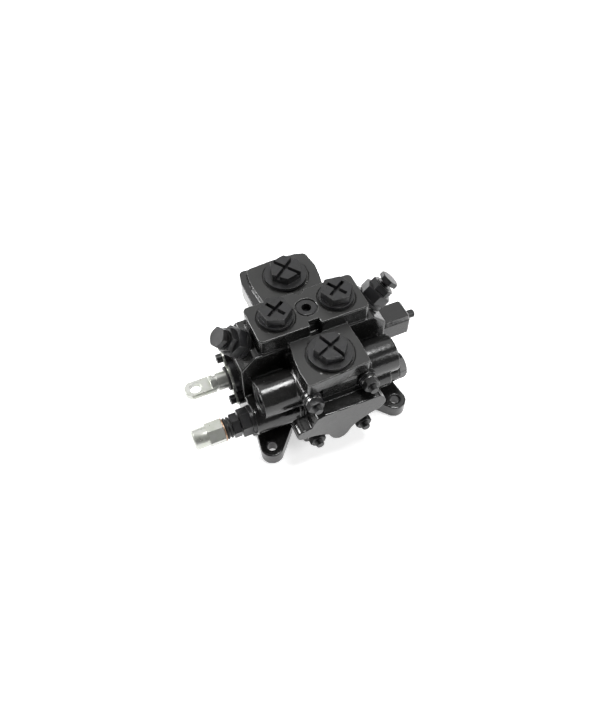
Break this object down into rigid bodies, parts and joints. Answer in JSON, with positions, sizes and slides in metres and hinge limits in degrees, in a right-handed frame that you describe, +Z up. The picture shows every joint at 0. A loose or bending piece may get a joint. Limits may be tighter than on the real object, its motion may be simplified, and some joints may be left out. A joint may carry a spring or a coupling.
{
  "type": "hydraulic monoblock valve",
  "caption": "Hydraulic monoblock directional valve with plugged ports, inclined relief cartridges, a main relief, a bolted front cover and a spring-centred spool with a linkage eye.",
  "frame": {"origin": "on the base plane, under the centre plug and the spool's axis", "axes": "+X along the spool from the linkage eye to the spring cap, -Y towards the bolted front cover, +Z up"},
  "size_m": [0.2345, 0.1764, 0.1234],
  "materials": {
    "black_paint": "glossy black paint over cast iron, machined pads semi-matte",
    "black_oxide_steel": "black oxide, semi-gloss",
    "zinc_plated_steel": "clear zinc plating, slightly yellow-green",
    "bare_steel": "ground steel",
    "copper": "soft copper",
    "seal_rubber": "matte"
  },
  "bodies": {
    "valve": {"valve_body": "black_paint", "spool_seals": "seal_rubber", "wiper_ring": "seal_rubber", "backing_plate": "black_oxide_steel", "retainer_plate": "zinc_plated_steel", "retainer_screws": "black_oxide_steel", "end_cap": "black_paint", "end_cap_screws": "black_oxide_steel", "end_cap_nub": "black_oxide_steel", "work_port_plug_a": "black_oxide_steel", "work_port_plug_b": "black_oxide_steel", "pressure_port_plug": "black_oxide_steel", "tank_port_plug": "black_oxide_steel", "work_port_seals": "seal_rubber", "main_port_seals": "seal_rubber", "load_check_plug": "black_oxide_steel", "load_check_spring": "bare_steel", "main_relief_body": "black_oxide_steel", "main_relief_locknut": "black_oxide_steel", "main_relief_rings": "seal_rubber", "main_relief_washer": "copper", "main_relief_cap": "zinc_plated_steel", "main_relief_spring": "bare_steel", "main_relief_seat": "bare_steel", "left_relief_washer": "black_oxide_steel", "left_relief_body": "black_oxide_steel", "left_relief_locknut": "black_oxide_steel", "left_relief_spring": "bare_steel", "right_relief_washer": "black_oxide_steel", "right_relief_body": "black_oxide_steel", "right_relief_locknut": "black_oxide_steel", "right_relief_spring": "bare_steel", "relief_bore_plug": "black_oxide_steel", "compensator_spring": "bare_steel", "compensator_plug_left": "black_oxide_steel", "compensator_plug_right": "black_oxide_steel", "front_cover": "black_paint", "cover_gasket": "seal_rubber", "cover_studs": "black_oxide_steel", "cover_washers": "black_oxide_steel", "cover_spring_washers": "bare_steel", "cover_nuts": "black_oxide_steel"},
    "spool": {"spool": "zinc_plated_steel", "spool_end_bolt": "black_oxide_steel", "spring_seats": "bare_steel", "centring_spring": "bare_steel"},
    "load_check": {"load_check_poppet": "bare_steel"},
    "compensator": {"compensator_piston": "bare_steel"},
    "main_plate": {"main_relief_plate": "bare_steel"},
    "main_adjuster": {"main_relief_adjuster": "black_oxide_steel"},
    "main_poppet": {"main_relief_poppet": "bare_steel"},
    "left_plate": {"left_relief_plate": "bare_steel"},
    "left_adjuster": {"left_relief_adjuster": "black_oxide_steel", "left_relief_stem": "black_oxide_steel"},
    "left_poppet": {"left_relief_poppet": "bare_steel"},
    "right_plate": {"right_relief_plate": "bare_steel"},
    "right_adjuster": {"right_relief_adjuster": "black_oxide_steel", "right_relief_stem": "black_oxide_steel"},
    "right_poppet": {"right_relief_poppet": "bare_steel"}
  },
  "joints": [
    {"name": "spool_slide", "type": "slide", "parent": "valve", "child": "spool", "axis": [1, 0, 0], "range_m": [-0.006, 0.006], "stiffness_N_per_m": 12000},
    {"name": "load_check_lift", "type": "slide", "parent": "valve", "child": "load_check", "axis": [0, 0, 1], "range_m": [0, 0.004], "stiffness_N_per_m": 800, "springref_m": -0.002, "deforming": ["load_check_spring"]},
    {"name": "compensator_slide", "type": "slide", "parent": "valve", "child": "compensator", "axis": [1, 0, 0], "range_m": [0, 0.005], "stiffness_N_per_m": 2500, "springref_m": -0.001, "deforming": ["compensator_spring"]},
    {"name": "main_plate_feed", "type": "slide", "parent": "valve", "child": "main_plate", "axis": [-1, 0, 0], "range_m": [-0.00126, 0.00126], "deforming": ["main_relief_spring"]},
    {"name": "main_adjuster_turn", "type": "hinge", "parent": "main_plate", "child": "main_adjuster", "pos_m": [-0.0795, -0.0394, 0.0365], "axis": [-1, 0, 0], "range_deg": [-360, 360]},
    {"name": "main_poppet_lift", "type": "slide", "parent": "valve", "child": "main_poppet", "axis": [-1, 0, 0], "range_m": [0, 0.002], "stiffness_N_per_m": 20000, "springref_m": -0.001, "deforming": ["main_relief_spring"]},
    {"name": "left_plate_feed", "type": "slide", "parent": "valve", "child": "left_plate", "axis": [-0.7071, 0, 0.7071], "range_m": [-0.00126, 0.00126], "deforming": ["left_relief_spring"]},
    {"name": "left_adjuster_turn", "type": "hinge", "parent": "left_plate", "child": "left_adjuster", "pos_m": [-0.06, 0, 0.093], "axis": [-0.7071, 0, 0.7071], "range_deg": [-360, 360]},
    {"name": "left_poppet_lift", "type": "slide", "parent": "valve", "child": "left_poppet", "axis": [-0.7071, 0, 0.7071], "range_m": [0, 0.0015], "stiffness_N_per_m": 20000, "springref_m": -0.001, "deforming": ["left_relief_spring"]},
    {"name": "right_plate_feed", "type": "slide", "parent": "valve", "child": "right_plate", "axis": [0.7071, 0, 0.7071], "range_m": [-0.00126, 0.00126], "deforming": ["right_relief_spring"]},
    {"name": "right_adjuster_turn", "type": "hinge", "parent": "right_plate", "child": "right_adjuster", "pos_m": [0.06, 0, 0.093], "axis": [0.7071, 0, 0.7071], "range_deg": [-360, 360]},
    {"name": "right_poppet_lift", "type": "slide", "parent": "valve", "child": "right_poppet", "axis": [0.7071, 0, 0.7071], "range_m": [0, 0.0015], "stiffness_N_per_m": 20000, "springref_m": -0.001, "deforming": ["right_relief_spring"]}
  ],
  "couplings": [
    {"joint": "main_plate_feed", "follows": "main_adjuster_turn", "m_per_rad": 0.00019894},
    {"joint": "left_plate_feed", "follows": "left_adjuster_turn", "m_per_rad": 0.00019894},
    {"joint": "right_plate_feed", "follows": "right_adjuster_turn", "m_per_rad": 0.00019894}
  ]
}
